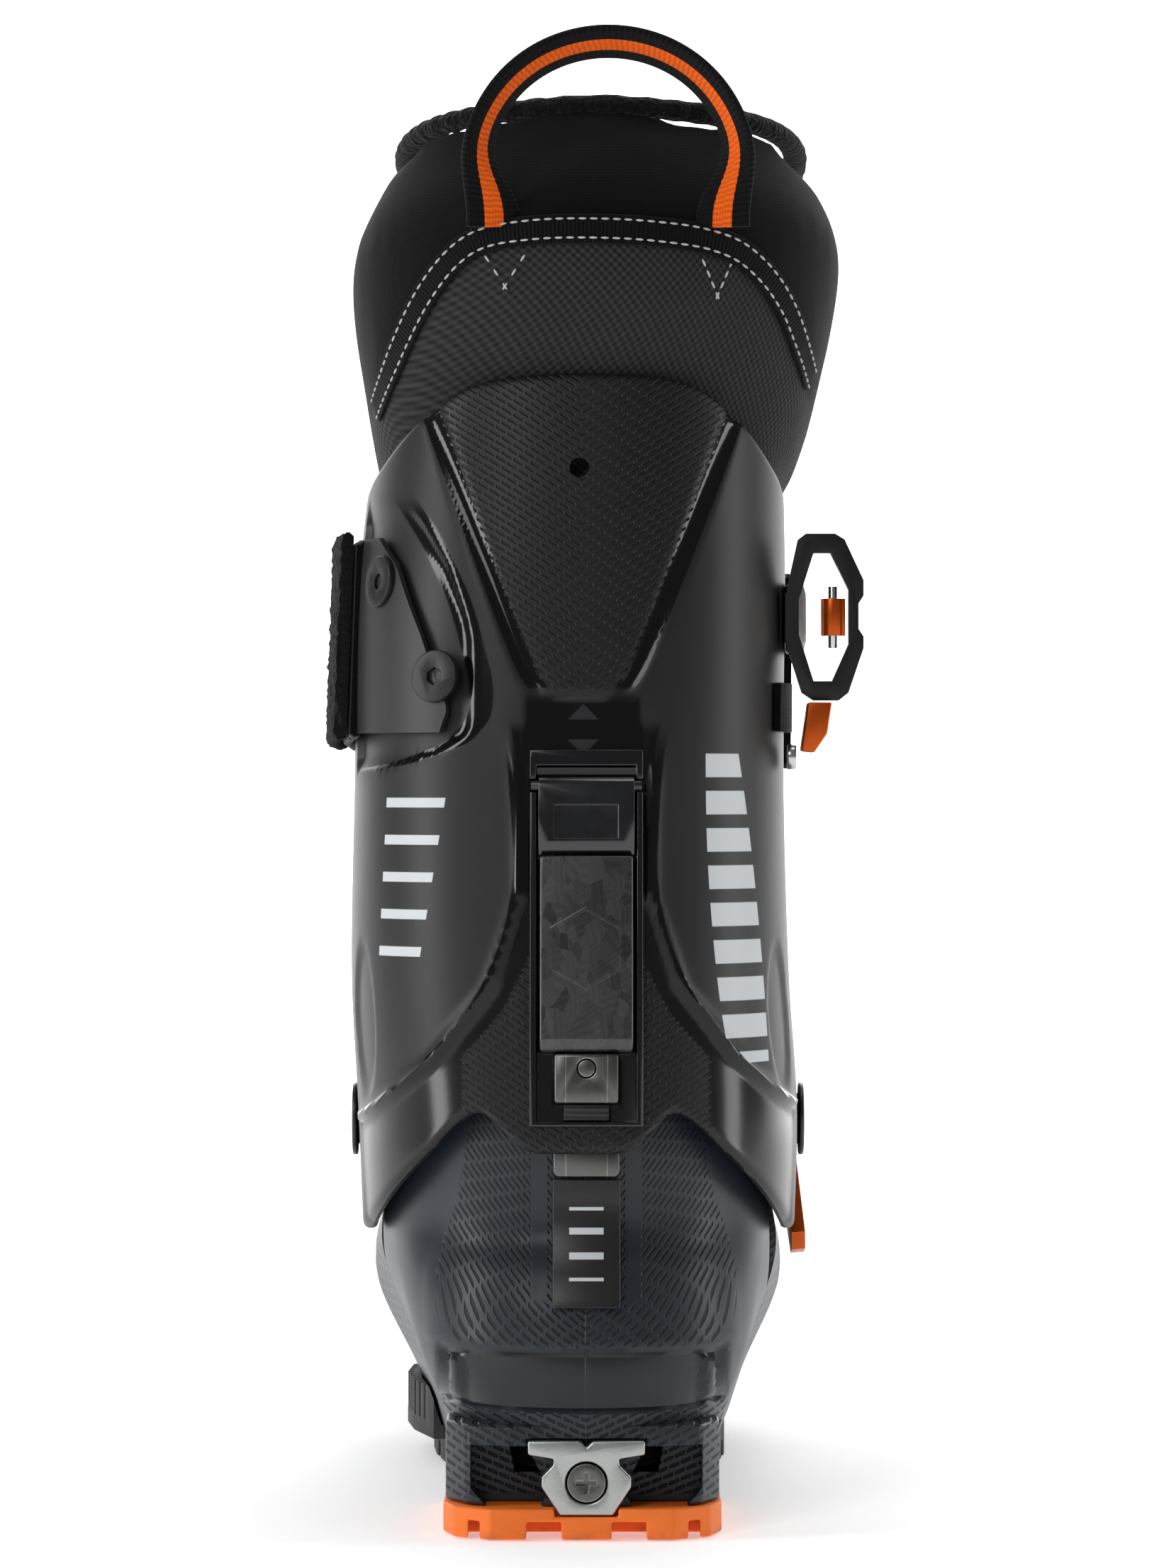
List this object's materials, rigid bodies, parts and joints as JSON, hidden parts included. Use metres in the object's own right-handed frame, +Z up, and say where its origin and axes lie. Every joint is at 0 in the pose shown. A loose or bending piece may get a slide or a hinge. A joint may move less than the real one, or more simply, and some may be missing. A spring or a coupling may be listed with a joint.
{
  "type": "alpine touring ski boot",
  "caption": "Right-foot ski touring boot with a hinged cuff, rear walk lever, tech heel fitting, instep buckle, strap buckle and soft liner.",
  "frame": {"origin": "middle of the heel tread's flat underside", "axes": "+Z up, +Y towards the toe, +X towards the outer side of the foot"},
  "size_m": [0.139, 0.3061, 0.3799],
  "materials": {
    "shell_plastic": "satin, fine dashed weave pattern",
    "cuff_plastic": "satin",
    "gloss_black": "gloss",
    "matt_black": "matt",
    "orange_rubber": "matt",
    "orange_alloy": "anodised",
    "black_rubber": "matt",
    "cast_steel": "cast grain",
    "dark_steel": "satin",
    "polished_steel": "polished",
    "liner_cloth": "stretch and woven fabric",
    "webbing": "ribbed webbing",
    "forged_carbon": "forged chopped fibre look"
  },
  "bodies": {
    "shell": {"lower_shell": "shell_plastic", "heel_outsole": "orange_rubber", "forefoot_outsole": "black_rubber", "heel_tech_fitting": "cast_steel", "heel_fitting_screw": "polished_steel", "heel_inlay": "matt_black", "shell_catch": "dark_steel", "instep_flap": "matt_black", "instep_ladder": "dark_steel", "liner_foot": "liner_cloth", "footbed": "liner_cloth", "pivot_washer_medial": "matt_black", "pivot_bolt_medial": "dark_steel", "pivot_washer_lateral": "matt_black", "pivot_bolt_lateral": "dark_steel", "instep_base": "dark_steel", "instep_lever_pin": "polished_steel", "toe_insert_medial": "cast_steel", "toe_insert_lateral": "cast_steel"},
    "cuff": {"cuff_shell": "cuff_plastic", "lever_housing": "gloss_black", "lever_axle": "polished_steel", "strap_bolt_upper": "dark_steel", "strap_bolt_lower": "dark_steel", "power_strap": "webbing", "strap_end": "webbing", "liner_cuff": "liner_cloth", "liner_tongue": "liner_cloth", "pull_loop": "webbing", "buckle_pin": "polished_steel", "buckle_plate": "polished_steel", "buckle_link": "orange_alloy", "buckle_bolt": "polished_steel", "buckle_webbing": "webbing"},
    "walk_lever": {"lever_cap": "gloss_black", "lever_body": "forged_carbon"},
    "lock_slide": {"lock_bar": "cast_steel", "lock_screw": "polished_steel", "lock_tongue": "matt_black"},
    "strap_handle": {"buckle_handle": "matt_black", "buckle_cam": "orange_alloy"},
    "instep_lever": {"instep_lever": "orange_alloy"},
    "instep_bail": {"instep_bail": "polished_steel"}
  },
  "joints": [
    {"name": "cuff_pivot", "type": "hinge", "parent": "shell", "child": "cuff", "pos_m": [0, 0.048, 0.1], "axis": [-1, 0, 0], "range_deg": [-11, 20]},
    {"name": "walk_lever_hinge", "type": "hinge", "parent": "cuff", "child": "walk_lever", "pos_m": [0, -0.02756, 0.18761], "axis": [-1, 0, 0], "range_deg": [0, 130]},
    {"name": "lock_slide_travel", "type": "slide", "parent": "cuff", "child": "lock_slide", "axis": [0, 0.0896, 0.996], "range_m": [0, 0.007]},
    {"name": "strap_handle_hinge", "type": "hinge", "parent": "cuff", "child": "strap_handle", "pos_m": [0.0635, 0.016, 0.231], "axis": [0, 0, 1], "range_deg": [0, 50]},
    {"name": "instep_lever_hinge", "type": "hinge", "parent": "shell", "child": "instep_lever", "pos_m": [0.05159, 0.10408, 0.10214], "axis": [0, -0.8525, 0.5227], "range_deg": [0, 140]},
    {"name": "instep_bail_hinge", "type": "hinge", "parent": "instep_lever", "child": "instep_bail", "pos_m": [0.05249, 0.0994, 0.0945], "axis": [0, -0.8525, 0.5227], "range_deg": [-162, 0]}
  ],
  "couplings": [
    {"joint": "lock_slide_travel", "follows": "walk_lever_hinge", "m_per_rad": 0.003},
    {"joint": "instep_bail_hinge", "follows": "instep_lever_hinge", "ratio": -1.15}
  ]
}
